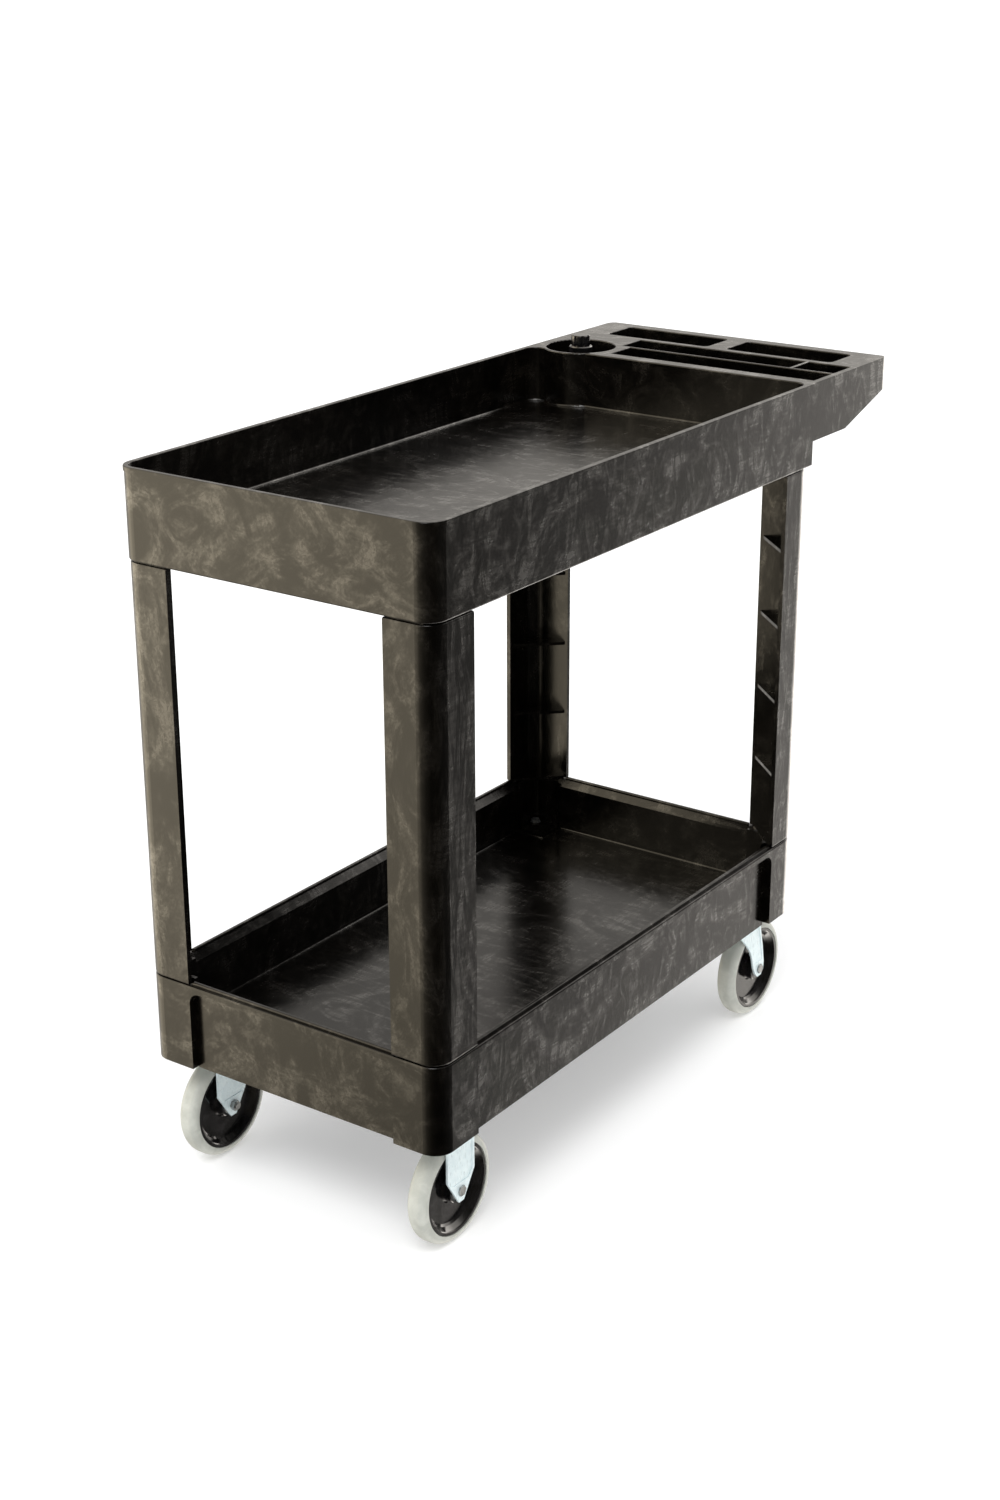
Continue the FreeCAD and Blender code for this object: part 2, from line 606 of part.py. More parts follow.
# ---------------------------------------------------------------- legs
def corner_channel(body, name, corner, level, inset, reach_along, reach_across, plate, radius,
                   tall):
    """An L section round one corner of the trolley, padded upwards."""
    sketch = sketch_on(body, name, "XY_Plane", level)
    inner = "(%s + %s)" % (inset, plate)
    outline = [(inset, inset, radius), (reach_along, inset), (reach_along, inner),
               (inner, inner, "%s - %s" % (radius, plate)), (inner, reach_across),
               (inset, reach_across)]
    add_outline(sketch, [corner_point(corner, *point[:2]) + point[2:] for point in outline])
    pad(body, sketch, tall)


def gusset(body, name, corner, level, reach_along, reach_across, inset):
    """A level web across the inside of the channel, with a slanting free edge."""
    sketch = sketch_on(body, name, "XY_Plane", level)
    cut = inset + " + web_corner"
    edge = inset + " + web_edge"
    outline = [(inset, cut), (cut, inset), (reach_along, inset), (reach_along, edge),
               (edge, reach_across), (inset, reach_across)]
    add_outline(sketch, [corner_point(corner, along, across) for along, across in outline])
    pad(body, sketch, "gusset_plate")


def make_leg(corner):
    name = corner[0]
    body = new_body("leg_" + name)
    flange = "leg_front_flange" if corner[1] < 0 else "leg_rear_flange"
    base = "(lower_rim + leg_seam)"
    corner_channel(body, "shell_" + name, corner, base, "0", flange, "leg_across", "leg_plate",
                   "corner_round", "skirt_bottom - 2 * leg_seam - lower_rim")

    inset = "(leg_plate - gusset_bite)"
    across = "leg_across - gusset_inset"
    levels = ["gusset_low + %d * gusset_pitch - gusset_plate / 2" % number for number in range(4)]
    levels.append("skirt_bottom - gusset_plate")
    for number, level in enumerate(levels):
        gusset(body, "web_%s_%d" % (name, number), corner, level, flange + " - gusset_inset",
               across, inset)
    gusset(body, "base_web_" + name, corner, "lower_rim", across, across, inset)

    # top plug inside the upper skirt, foot inside the lower tray
    plug = "(tray_wall - tray_proud + plug_gap)"
    corner_channel(body, "plug_" + name, corner, "skirt_bottom - plug_bite", plug,
                   plug + " + plug_long", plug + " + plug_long", "plug_plate",
                   "corner_round - " + plug, "plug_tall + plug_bite")
    foot = "(lower_wall + foot_gap)"
    reach = foot + " + foot_long"
    corner_channel(body, "foot_" + name, corner, "foot_level", foot, reach, reach, "plug_plate",
                   "lower_inner_round", "lower_rim - foot_level + past")
    gusset(body, "sole_" + name, corner, "foot_level", reach + " - hollow_inset",
           reach + " - hollow_inset", "(%s + gusset_heel)" % foot)

    for label, level in (("foot", "foot_level + gusset_plate"), ("top", "skirt_bottom")):
        holes = sketch_on(body, "leg_%s_hole_%s" % (label, name), "XY_Plane", level)
        add_circle(holes, *screw_place(corner), "leg_screw_shank")
        pocket(body, holes, "gusset_plate")

    # the outer edges at the top and bottom of the shell are eased
    limits = [value_of("skirt_bottom - leg_seam"), value_of(base)]
    outer = [value_of(formula) for formula in corner_point(corner, "0", "0")]
    round_edges(body, "leg_soft", lambda edge, middle: is_level(edge)
                and min(abs(middle.z - level) for level in limits) < 0.05
                and (near(middle.x, outer[0]) or near(middle.y, outer[1])
                     or is_arc_of(edge, "corner_round")))
    return body


# ---------------------------------------------------------------- fasteners
def solid(kind, name, **sizes):
    """A Part primitive whose sizes are bound to the sheet."""
    thing = doc.addObject("Part::" + kind, name)
    for key, formula in sizes.items():
        thing.setExpression(key, bound(formula))
    return thing


def headed_screw(name, along, across, seat, upwards, shank, head, head_tall, long):
    """A hexagon-headed screw: its head sits on the seat level and its shank goes through it."""
    rod = solid("Cylinder", name + "_shank", Radius=shank, Height=long)
    cap = solid("Prism", name + "_head", Circumradius=head, Height=head_tall)
    flange = solid("Cylinder", name + "_washer", Radius=head + " + past", Height="past")
    if upwards:
        place(rod, along, across, seat)
        place(cap, along, across, "%s - %s" % (seat, head_tall))
        place(flange, along, across, "%s - past" % seat)
    else:
        place(rod, along, across, "%s - %s" % (seat, long))
        place(cap, along, across, seat)
        place(flange, along, across, seat)
    screw = doc.addObject("Part::MultiFuse", name)
    screw.Shapes = [rod, cap, flange]
    return screw


def group_of(name, things):
    """Identical pieces kept as separate solids in one node."""
    group = doc.addObject("Part::Compound", name)
    group.Label = name
    group.Links = things
    nodes.append(group)
    return group


def make_leg_screws():
    top = []
    foot = []
    for corner in CORNERS:
        along, across = screw_place(corner)
        top.append(headed_screw("top_screw_" + corner[0], along, across,
                                "skirt_bottom - gusset_plate", True, "leg_screw_shank",
                                "leg_screw_head", "leg_screw_head_tall", "leg_screw_long"))
        foot.append(headed_screw("foot_screw_" + corner[0], along, across,
                                 "foot_level + gusset_plate", False, "leg_screw_shank",
                                 "leg_screw_head", "leg_screw_head_tall", "leg_screw_long"))
    group_of("leg_top_screws", top)
    group_of("leg_foot_screws", foot)


def make_plate_screws(corner):
    screws = [headed_screw("%s_plate_screw_%d" % (corner[0], number), *spot,
                           "pad_level - plate_thick", True, "plate_screw_shank",
                           "plate_screw_head", "plate_screw_head_tall", "plate_screw_long")
              for number, spot in enumerate(plate_hole_places(corner))]
    group_of(corner[0] + "_plate_screws", screws)


# ---------------------------------------------------------------- holder post
def make_holder_post():
    body = turned("holder_post", "XZ_Plane", [
        ("0", "holder_floor"), ("post_foot", "holder_floor"), ("post_foot", "post_foot_top"),
        ("post_base", "post_foot_top + post_foot_slope"),
        ("post_base", "post_shoulder - post_soft"), ("post_base - post_soft", "post_shoulder"),
        ("post_tip", "post_shoulder"), ("post_tip", "post_top - post_soft"),
        ("post_tip - post_soft", "post_top"), ("0", "post_top")])
    flute = sketch_on(body, "flute", "XY_Plane", "post_top + past")
    add_circle(flute, "post_tip + flute_wide - flute_deep", "0", "flute_wide")
    cut = pocket(body, flute, "post_top + past - post_shoulder")
    axis = [feature for feature in body.Origin.OriginFeatures if feature.Role == "Z_Axis"][0]
    ring = body.newObject("PartDesign::PolarPattern", "flutes")
    ring.Originals = [cut]
    ring.Axis = (axis, [""])
    ring.Angle = 360
    ring.Occurrences = 8
    body.Tip = ring
    doc.recompute()
    hole = sketch_on(body, "post_thread_hole", "XY_Plane", "holder_floor")
    add_circle(hole, "0", "0", "leg_screw_shank")
    pocket(body, hole, "post_thread", reverse=True)
    place(body, "holder_along", "holder_across")
    screw = headed_screw("post_screw", "holder_along", "holder_across", "handle_under", True,
                         "leg_screw_shank", "leg_screw_head", "leg_screw_head_tall",
                         "post_screw_long")
    group_of("holder_post_screw", [screw])


# ---------------------------------------------------------------- casters
# one side of a swivel fork, as (along from the kingpin, up from the floor)
SWIVEL_OUTLINE = [("-crown_back", "crown_top"), ("-18", "130"), ("-14.5", "126.5"),
                  ("0", "111.5"), ("10", "98.5"), ("15.5", "87"), ("19", "73"), ("25", "61"),
                  ("31.5", "54.5"), ("40.5", "54.5"), ("46.5", "61"), ("47.5", "71"),
                  ("43", "97"), ("37", "121"), ("crown_reach", "crown_top")]
SWIVEL_PRESS = [("-8", "127"), ("4", "114"), ("14", "100.5"), ("19.5", "88.5"),
                ("23", "press_bottom"), ("43", "press_bottom"), ("39", "97"), ("33.5", "119"),
                ("31.5", "127")]


def press_border(body, name, corners):
    """Press a shallow panel into the outer face of both fork legs."""
    for sign in (-1, 1):
        sketch = sketch_on(body, "%s_press_%d" % (name, sign + 1), "XZ_Plane",
                           times(sign, "fork_inner + fork_plate"))
        add_outline(sketch, corners)
        pocket(body, sketch, "fork_press", reverse=sign < 0)


def fork_cheeks(body, name, outline, gap_top):
    """Both sides of a fork with what joins them above the gap, and its axle hole."""
    legs = sketch_on(body, name + "_legs", "XZ_Plane", "0")
    add_outline(legs, outline)
    pad(body, legs, "2 * (fork_inner + fork_plate)", symmetric=True)
    gap = sketch_on(body, name + "_gap", "XZ_Plane", "0")
    add_rectangle(gap, "-plate_long", "plate_long", "fork_tip - over", gap_top)
    pocket(body, gap, "2 * fork_inner", symmetric=True)


def axle_hole(body, name, along):
    hole = sketch_on(body, name + "_axle_hole", "XZ_Plane", "0")
    add_circle(hole, along, "wheel_radius", "axle_radius")
    pocket(body, hole, "4 * fork_inner", symmetric=True)


def flat_plate(body, name):
    """The screwed plate on top of a caster, with rounded corners and four holes."""
    plate = sketch_on(body, name + "_plate", "XY_Plane", "pad_level - plate_thick")
    add_rectangle(plate, "-plate_long / 2", "plate_long / 2", "-plate_wide / 2",
                  "plate_wide / 2", "plate_round")
    pad(body, plate, "plate_thick")
    holes = sketch_on(body, name + "_plate_holes", "XY_Plane", "pad_level")
    for step_along in (-1, 1):
        for step_across in (-1, 1):
            add_circle(holes, times(step_along, "hole_along"), times(step_across, "hole_across"),
                       "plate_screw_shank")
    pocket(body, holes, "plate_thick")


def make_rigid_fork(corner):
    name = corner[0]
    body = new_body(name + "_fork")
    fork_cheeks(body, name, [
        ("-fork_half_wide", "pad_level - plate_thick"), ("-fork_half_wide", "fork_taper_start"),
        ("-fork_tip_half", "fork_tip"), ("fork_tip_half", "fork_tip"),
        ("fork_half_wide", "fork_taper_start"), ("fork_half_wide", "pad_level - plate_thick")],
        "pad_level - 2 * plate_thick")
    flat_plate(body, name)
    axle_hole(body, name, "0")
    press_half = "fork_half_wide - fork_border"
    press_border(body, name, [
        ("-(%s)" % press_half, "press_top"), ("-(%s)" % press_half, "fork_taper_start + past"),
        ("-press_tip_half", "press_bottom"), ("press_tip_half", "press_bottom"),
        (press_half, "fork_taper_start + past"), (press_half, "press_top")])
    place(body, *caster_place(corner))


def make_swivel_fork(corner):
    name = corner[0]
    body = new_body(name + "_swivel_fork")
    fork_cheeks(body, name, SWIVEL_OUTLINE, "crown_bottom")
    crown = sketch_on(body, name + "_crown", "XY_Plane", "crown_bottom")
    add_circle(crown, "0", "0", "crown_radius")
    pad(body, crown, "crown_top - crown_bottom")
    race = sketch_on(body, name + "_race", "XY_Plane", "crown_top")
    add_circle(race, "0", "0", "race_outer")
    pad(body, race, "race_top - crown_top")
    well = sketch_on(body, name + "_well", "XY_Plane", "race_top")
    add_circle(well, "0", "0", "race_inner")
    pocket(body, well, "race_top - crown_top")
    bore = sketch_on(body, name + "_bore", "XY_Plane", "crown_top")
    add_circle(bore, "0", "0", "kingpin_radius + running_gap")
    pocket(body, bore, "crown_top - crown_bottom")
    groove_ball_track(body, name + "_track", "ball_radius + running_gap")
    axle_hole(body, name, "trail")
    press_border(body, name, SWIVEL_PRESS)
    place(body, *caster_place(corner))


def groove_ball_track(body, name, radius):
    """Cut the ball track round the kingpin."""
    sketch = sketch_on(body, name, "XZ_Plane", "0")
    add_circle(sketch, "ball_circle", "ball_level", radius)
    before = body.Shape.Volume
    groove = body.newObject("PartDesign::Groove", name + "_groove")
    groove.Profile = sketch
    groove.ReferenceAxis = (sketch, ["V_Axis"])
    groove.Angle = 360
    doc.recompute()
    if not body.Shape.Volume < before - 1:
        raise RuntimeError(name + " cuts nothing")


def make_top_plate(corner):
    name = corner[0]
    body = new_body(name + "_top_plate")
    flat_plate(body, name)
    race_tall = "pad_level - plate_thick - plate_race_bottom"
    race = sketch_on(body, name + "_upper_race", "XY_Plane", "plate_race_bottom")
    add_circle(race, "0", "0", "race_outer")
    pad(body, race, race_tall)
    well = sketch_on(body, name + "_upper_well", "XY_Plane", "plate_race_bottom")
    add_circle(well, "0", "0", "race_inner")
    pocket(body, well, race_tall, reverse=True)
    bore = sketch_on(body, name + "_plate_bore", "XY_Plane", "pad_level")
    add_circle(bore, "0", "0", "kingpin_radius")
    pocket(body, bore, "plate_thick")
    groove_ball_track(body, name + "_upper_track", "ball_radius + ball_gap")
    place(body, *caster_place(corner))


def make_swivel_parts(corner):
    name = corner[0]
    make_top_plate(corner)
    make_swivel_fork(corner)
    head_top = "pad_level + kingpin_head_tall"
    kingpin = turned(name + "_kingpin", "XZ_Plane", [
        ("0", "kingpin_bottom"), ("kingpin_foot - past", "kingpin_bottom"),
        ("kingpin_foot", "kingpin_bottom + past"), ("kingpin_foot", "kingpin_foot_top"),
        ("kingpin_radius", "kingpin_foot_top"), ("kingpin_radius", "pad_level"),
        ("kingpin_head", "pad_level"), ("kingpin_head", head_top + " - past"),
        ("kingpin_head - past", head_top), ("0", head_top)])
    lower = turned(name + "_lower_race", "XZ_Plane", [
        ("kingpin_radius + running_gap", "lower_race_bottom"),
        ("lower_race_radius - past", "lower_race_bottom"),
        ("lower_race_radius", "lower_race_bottom + past"), ("lower_race_radius", "crown_bottom"),
        ("kingpin_radius + running_gap", "crown_bottom")])
    ring_outer = "dust_ring_inner + dust_ring_plate"
    dust = turned(name + "_dust_ring", "XZ_Plane", [
        ("dust_ring_inner", "crown_top"), (ring_outer, "crown_top"),
        (ring_outer, "dust_ring_top - past"), (ring_outer + " - past", "dust_ring_top"),
        ("dust_ring_inner", "dust_ring_top")])
    for body in (kingpin, lower, dust):
        place(body, *caster_place(corner))
    balls = []
    count = 14
    along, across = caster_place(corner)
    for number in range(count):
        angle = 360.0 * number / count
        ball = solid("Sphere", "%s_ball_%d" % (name, number), Radius="ball_radius")
        place(ball, "%s + ball_circle * cos(%g deg)" % (along, angle),
              "%s + ball_circle * sin(%g deg)" % (across, angle), "ball_level")
        balls.append(ball)
    group_of(name + "_swivel_balls", balls)


def axle_place(corner):
    along, across = caster_place(corner)
    if corner[1] > 0:
        along += " + trail"
    return along, across, "wheel_radius"


def make_wheel(corner):
    name = corner[0]
    tyre = turned(name + "_tyre", "XY_Plane", [
        ("tyre_inner", "-wheel_half"), ("wheel_radius", "-wheel_half"),
        ("wheel_radius", "wheel_half"), ("tyre_inner", "wheel_half")])
    round_edges(tyre, "shoulder_round", lambda edge, middle:
                edge.Curve.TypeId == "Part::GeomCircle"
                and near(edge.Curve.Radius, "wheel_radius"))
    half_section = [("bush_radius", "hub_half"), ("hub_radius - past", "hub_half"),
                    ("hub_radius", "hub_half - past"),
                    ("hub_radius + past", "web_half + hub_fillet"),
                    ("hub_radius + past + hub_fillet", "web_half"),
                    ("rim_inner - rim_fillet", "web_half"),
                    ("rim_inner", "web_half + rim_fillet"),
                    ("rim_inner + rim_slope", "rim_half - past"),
                    ("rim_inner + rim_slope + past", "rim_half"),
                    ("tyre_inner - past", "rim_half"), ("tyre_inner", "rim_half - past")]
    mirrored = [(radius, "-(%s)" % up) for radius, up in reversed(half_section)]
    core = turned(name + "_wheel_core", "XY_Plane", half_section + mirrored)
    sleeve = turned(name + "_axle_sleeve", "XY_Plane", [
        ("axle_radius", "-fork_inner"), ("sleeve_radius", "-fork_inner"),
        ("sleeve_radius", "fork_inner"), ("axle_radius", "fork_inner")])
    bushes = turned(name + "_wheel_bushes", "XY_Plane", *[[
        ("sleeve_radius + running_gap", times(sign, "hub_half - bush_long")),
        ("bush_radius", times(sign, "hub_half - bush_long")),
        ("bush_radius", times(sign, "hub_half")), ("bush_flange", times(sign, "hub_half")),
        ("bush_flange", times(sign, "hub_half + bush_flange_plate")),
        ("sleeve_radius + running_gap", times(sign, "hub_half + bush_flange_plate"))]
        for sign in (-1, 1)])
    for body in (tyre, core, sleeve, bushes):
        place(body, *axle_place(corner))


def across_axis(thing, along, across, up):
    """Turn a primitive's own axis to +Y and bind its place."""
    thing.Placement = FreeCAD.Placement(V(0, 0, 0), FreeCAD.Rotation(V(1, 0, 0), -90))
    place(thing, along, across, up)


def make_axle(corner):
    """A hexagon bolt with its head outwards and a nut on the inner side."""
    name, end, side = corner
    along, across, up = axle_place(corner)
    outer = "(fork_inner + fork_plate)"
    long = "(2 * %s + nut_tall + bolt_spare)" % outer
    spans = [("Cylinder", "rod", "-nut_tall - bolt_spare - " + outer, long, "axle_radius"),
             ("Prism", "bolt_head", outer, "bolt_head_tall", "hex_radius"),
             ("Prism", "nut_hex", "-nut_tall - " + outer, "nut_tall", "hex_radius"),
             ("Cylinder", "nut_bore", "-nut_tall - " + outer, "nut_tall", "axle_radius")]
    pieces = []
    for kind, label, start, tall, radius in spans:
        low = start if side > 0 else "-(%s) - %s" % (start, tall)
        size = {"Radius" if kind == "Cylinder" else "Circumradius": radius}
        piece = solid(kind, "%s_axle_%s" % (name, label), Height=tall, **size)
        across_axis(piece, along, "%s + %s" % (across, low), up)
        pieces.append(piece)
    for label, kind, base, tool in (("bolt", "Part::Fuse", pieces[0], pieces[1]),
                                    ("nut", "Part::Cut", pieces[2], pieces[3])):
        joined = doc.addObject(kind, "%s_axle_%s" % (name, label))
        joined.Base = base
        joined.Tool = tool
        nodes.append(joined)


# ---------------------------------------------------------------- build and write
make_upper_tray()
make_lower_tray()
for corner in CORNERS:
    make_leg(corner)
make_leg_screws()
make_holder_post()
for corner in CORNERS:
    if corner[1] < 0:
        make_rigid_fork(corner)
    else:
        make_swivel_parts(corner)
    make_plate_screws(corner)
    make_wheel(corner)
    make_axle(corner)
doc.recompute()

for thing in doc.Objects:
    if "Invalid" in thing.State or "Error" in thing.State:
        raise RuntimeError("%s is %s" % (thing.Label, thing.State))
os.makedirs("parts", exist_ok=True)
for node in nodes:
    shape = node.Shape
    if shape.isNull() or not shape.isValid():
        raise RuntimeError(node.Label + " has no valid shape")
    shape.exportStep(os.path.join("parts", node.Label + ".step"))
    box = shape.BoundBox
    print("%-26s %2d solids %9.1f cm3  x %.1f..%.1f  y %.1f..%.1f  z %.1f..%.1f" % (
        node.Label, len(shape.Solids), shape.Volume / 1000, box.XMin, box.XMax, box.YMin,
        box.YMax, box.ZMin, box.ZMax))
print(len(nodes), "nodes")
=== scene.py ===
import json
import math

import bpy
from mathutils import Euler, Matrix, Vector

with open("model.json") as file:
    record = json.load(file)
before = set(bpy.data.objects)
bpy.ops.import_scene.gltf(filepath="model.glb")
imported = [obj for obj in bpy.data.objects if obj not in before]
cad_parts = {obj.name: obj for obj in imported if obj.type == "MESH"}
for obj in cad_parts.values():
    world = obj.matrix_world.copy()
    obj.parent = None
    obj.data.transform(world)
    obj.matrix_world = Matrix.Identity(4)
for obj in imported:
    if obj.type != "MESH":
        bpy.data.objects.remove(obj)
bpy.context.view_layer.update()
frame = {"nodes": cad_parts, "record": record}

NODES = frame["nodes"]


# ---------------------------------------------------------------- camera
CAMERA_PLACE = Vector((-2.2195, -1.5093, 1.4450))
CAMERA_AZIMUTH = 35.18      # degrees from +X towards +Y
CAMERA_PITCH = 20.99        # degrees below level
CAMERA_ROLL = -0.18
LENS = 56.1                 # mm, on a 36 mm sensor


def make_camera():
    data = bpy.data.cameras.new("camera")
    data.sensor_fit = "VERTICAL"
    data.sensor_height = 36
    data.lens = LENS
    data.clip_end = 200
    camera = bpy.data.objects.new("camera", data)
    camera.location = CAMERA_PLACE
    turn = Euler((math.radians(90 - CAMERA_PITCH), 0, math.radians(CAMERA_AZIMUTH - 90)), "XYZ")
    roll = Euler((0, 0, math.radians(CAMERA_ROLL)), "XYZ")
    camera.rotation_euler = (turn.to_matrix() @ roll.to_matrix()).to_euler()
    bpy.context.scene.collection.objects.link(camera)
    bpy.context.scene.camera = camera


# ---------------------------------------------------------------- node helpers
class Nodes:
    """A node tree under construction, with short names for the nodes that it uses."""

    def __init__(self, tree):
        self.tree = tree
        self.tree.nodes.clear()

    def add(self, kind, **settings):
        node = self.tree.nodes.new(kind)
        for key, value in settings.items():
            setattr(node, key, value)
        return node

    def link(self, source, target):
        self.tree.links.new(source, target)

    def feed(self, socket, value):
        """Give a socket a number, a colour, or the output of another node."""
        if isinstance(value, tuple):
            socket.default_value = value + (1,)
        elif isinstance(value, (int, float)):
            socket.default_value = value
        else:
            self.link(value, socket)

    def noise(self, vector, scale, detail, rough=0.5, distort=0.0):
        node = self.add("ShaderNodeTexNoise")
        self.link(vector, node.inputs["Vector"])
        node.inputs["Scale"].default_value = scale
        node.inputs["Detail"].default_value = detail
        node.inputs["Roughness"].default_value = rough
        node.inputs["Distortion"].default_value = distort
        return node.outputs["Fac"]

    def remap(self, value, low, high, to_low=0.0, to_high=1.0):
        """Stretch a value with soft ends, so that low becomes to_low and high to_high."""
        node = self.add("ShaderNodeMapRange", interpolation_type="SMOOTHSTEP")
        self.link(value, node.inputs["Value"])
        for key, number in (("From Min", low), ("From Max", high), ("To Min", to_low),
                            ("To Max", to_high)):
            node.inputs[key].default_value = number
        return node.outputs[0]

    def math(self, operation, *values):
        node = self.add("ShaderNodeMath", operation=operation)
        for socket, value in zip(node.inputs, values):
            self.feed(socket, value)
        return node.outputs[0]

    def mix(self, factor, first, second, blend="MIX"):
        """Mix two colours."""
        node = self.add("ShaderNodeMix", data_type="RGBA", blend_type=blend)
        for number, value in ((0, factor), (6, first), (7, second)):
            self.feed(node.inputs[number], value)
        return node.outputs[2]

    def tint(self, first, second):
        return self.mix(1.0, first, second, "MULTIPLY")

    def levels(self, value, stops):
        """A grey ramp through (position, level) stops."""
        node = self.add("ShaderNodeValToRGB")
        self.link(value, node.inputs[0])
        elements = node.color_ramp.elements
        elements.remove(elements[1])
        elements[0].position, level = stops[0]
        elements[0].color = (level, level, level, 1)
        for position, level in stops[1:]:
            elements.new(position).color = (level, level, level, 1)
        return node.outputs[0]


class Shader(Nodes):
    """A principled material in object coordinates."""

    def __init__(self, name):
        self.material = bpy.data.materials.new(name)
        self.material.use_nodes = True
        super().__init__(self.material.node_tree)
        self.surface = self.add("ShaderNodeBsdfPrincipled")
        output = self.add("ShaderNodeOutputMaterial")
        self.link(self.surface.outputs[0], output.inputs["Surface"])
        self.coords = self.add("ShaderNodeTexCoord").outputs["Object"]

    def place(self, scale, turn=(0, 0, 0), shift=(0, 0, 0)):
        """Object coordinates, turned and stretched."""
        mapping = self.add("ShaderNodeMapping")
        self.link(self.coords, mapping.inputs["Vector"])
        mapping.inputs["Scale"].default_value = scale
        mapping.inputs["Rotation"].default_value = turn
        mapping.inputs["Location"].default_value = shift
        return mapping.outputs[0]

    def bump(self, height, strength, distance):
        node = self.add("ShaderNodeBump")
        self.link(height, node.inputs["Height"])
        node.inputs["Strength"].default_value = strength
        node.inputs["Distance"].default_value = distance
        self.link(node.outputs[0], self.surface.inputs["Normal"])

    def set(self, **values):
        """Set sockets of the principled shader, with _ for each space in their names."""
        for key, value in values.items():
            self.feed(self.surface.inputs[key.replace("_", " ")], value)


# ---------------------------------------------------------------- materials
# Each colour of the foam, between its marks and on them, clouds from one value to the other.
FOAM_DARK = ((0.0004, 0.0003, 0.0002), (0.0012, 0.0009, 0.0006))
FOAM_LIGHT = ((0.0040, 0.0030, 0.0021), (0.0090, 0.0071, 0.0050))


def foam_marks(shader, shift, flow, stretch):
    """The marks of structural foam, from 0 to 1: streaks within swirls, finely hatched."""
    base = shader.place(stretch, flow, shift)
    long_way = shader.place((stretch[0] * 3.0, stretch[1], stretch[2] * 1.5), flow, shift)
    slanted = shader.place((14, 90, 90), (0.5, -0.6, 0.7), shift)
    swirl = shader.noise(base, scale=6.5, detail=7, rough=0.60, distort=3.4)
    swirl = shader.remap(swirl, 0.40, 0.62)
    streak = shader.noise(long_way, scale=11, detail=9, rough=0.68, distort=2.4)
    streak = shader.remap(streak, 0.40, 0.64)
    hatch = shader.noise(slanted, scale=2.2, detail=5, rough=0.65, distort=0.8)
    hatch = shader.remap(hatch, 0.38, 0.64)
    marks = shader.math("MULTIPLY", swirl, shader.math("MULTIPLY_ADD", streak, 0.7, 0.3))
    strays = shader.math("MULTIPLY", shader.math("MULTIPLY", streak, streak), 0.6)
    marks = shader.math("MAXIMUM", marks, strays)
    return shader.math("MULTIPLY", marks, shader.math("MULTIPLY_ADD", hatch, 0.5, 0.5))


def foam_plastic(name, shift=(0, 0, 0), flow=(0, 0, 0), stretch=(1, 1, 1)):
    """Near-black structural-foam moulding: glossier marks where the melt flowed."""
    shader = Shader(name)
    marks = foam_marks(shader, shift, flow, stretch)
    cloud = shader.noise(shader.place(stretch, flow, shift), scale=2.4, detail=3, distort=0.8)
    cloud = shader.remap(cloud, 0.34, 0.66)
    shader.set(Base_Color=shader.mix(marks, shader.mix(cloud, *FOAM_DARK),
                                     shader.mix(cloud, *FOAM_LIGHT)),
               Roughness=shader.remap(marks, 0.0, 1.0, 0.19, 0.32), Specular_IOR_Level=0.30,
               Coat_Weight=shader.remap(marks, 0.0, 0.85, 0.10, 0.95), Coat_Roughness=0.23)
    grain = shader.noise(shader.coords, scale=420, detail=3, rough=0.6)
    height = shader.math("MULTIPLY_ADD", grain, 0.06, shader.math("MULTIPLY", marks, 0.35))
    shader.bump(height, strength=0.30, distance=0.0008)
    return shader.material


def smooth_black(name):
    """Gloss black moulding with faint scuffs."""
    shader = Shader(name)
    scuff = shader.noise(shader.coords, scale=60, detail=5, rough=0.6, distort=0.6)
    shader.set(Base_Color=shader.mix(shader.remap(scuff, 0.4, 0.7), (0.003, 0.003, 0.003),
                                     (0.010, 0.009, 0.010)),
               Roughness=shader.remap(scuff, 0.3, 0.75, 0.08, 0.20), Specular_IOR_Level=0.9)
    shader.bump(scuff, strength=0.05, distance=0.0003)
    return shader.material


def grey_rubber(name):
    """Non-marking grey tyre, with a fine grain and a little floor dust."""
    shader = Shader(name)
    dust = shader.noise(shader.coords, scale=38, detail=5, rough=0.6, distort=0.4)
    grain = shader.noise(shader.coords, scale=900, detail=2)
    shader.set(Base_Color=shader.mix(shader.remap(dust, 0.35, 0.7), (0.40, 0.41, 0.37),
                                     (0.52, 0.53, 0.48)),
               Roughness=shader.remap(dust, 0.3, 0.7, 0.42, 0.60))
    shader.bump(shader.math("MULTIPLY_ADD", dust, 0.6, grain), strength=0.12, distance=0.0004)
    return shader.material


def zinc_plate(name, low, high, metal):
    """Bright zinc on pressed steel: faint spangle and drawn marks."""
    shader = Shader(name)
    spangle = shader.noise(shader.coords, scale=130, detail=3, rough=0.55, distort=0.5)
    drawn = shader.noise(shader.place((8, 8, 1)), scale=90, detail=4, rough=0.6)
    shader.set(Base_Color=shader.mix(shader.remap(spangle, 0.3, 0.7), low, high), Metallic=metal,
               Roughness=shader.remap(drawn, 0.3, 0.7, 0.26, 0.42))
    shader.bump(drawn, strength=0.06, distance=0.0002)
    return shader.material


def plain_plastic(name, low, high, rough):
    """Unpolished moulding with a faint mottle."""
    shader = Shader(name)
    mottle = shader.noise(shader.coords, scale=120, detail=4, rough=0.6)
    shader.set(Base_Color=shader.mix(mottle, low, high), Roughness=rough)
    shader.bump(mottle, strength=0.1, distance=0.0003)
    return shader.material


LEG_STRETCH = (1.6, 1.6, 0.55)      # marks on the legs run up and down
FASTENER_ENDINGS = ("_screw", "_screws", "_bolt", "_nut")


